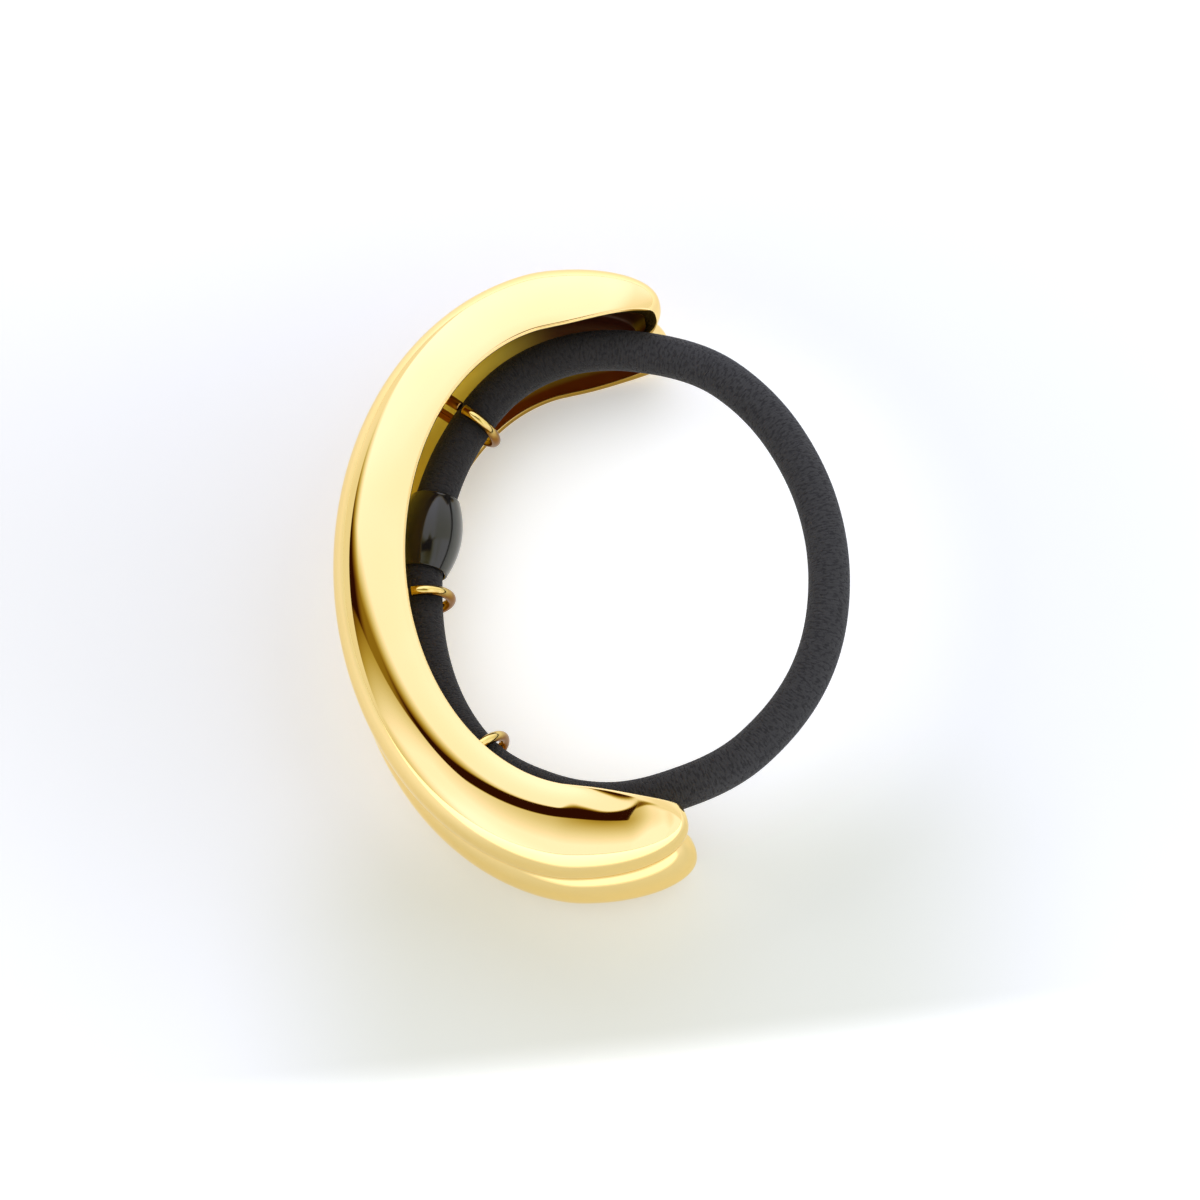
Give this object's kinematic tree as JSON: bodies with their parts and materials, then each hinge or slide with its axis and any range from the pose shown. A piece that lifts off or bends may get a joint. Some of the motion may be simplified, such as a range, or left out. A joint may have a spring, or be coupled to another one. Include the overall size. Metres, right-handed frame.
{
  "type": "ponytail cuff",
  "caption": "Puffed sheet-metal cuff, arched and closed at both ends, that carries an elastic hair band in cut wire rings, with a plastic bead over the band's joint.",
  "frame": {"origin": "on the floor that the cuff lies on, below the middle of the whole cuff's box", "axes": "+Z along the axis of the hair, +Y towards the upper end of the shell, +X from the shell to the free side of the band"},
  "size_m": [0.0512, 0.0642, 0.018],
  "materials": {
    "cuff_shell": "gold plated, mirror polished",
    "elastic_band": "matte fine-knit sleeve over rubber",
    "joint_bead": "glossy black"
  },
  "bodies": {
    "root": {"cuff_shell": "cuff_shell", "elastic_band": "elastic_band", "joint_bead": "joint_bead"}
  },
  "joints": []
}
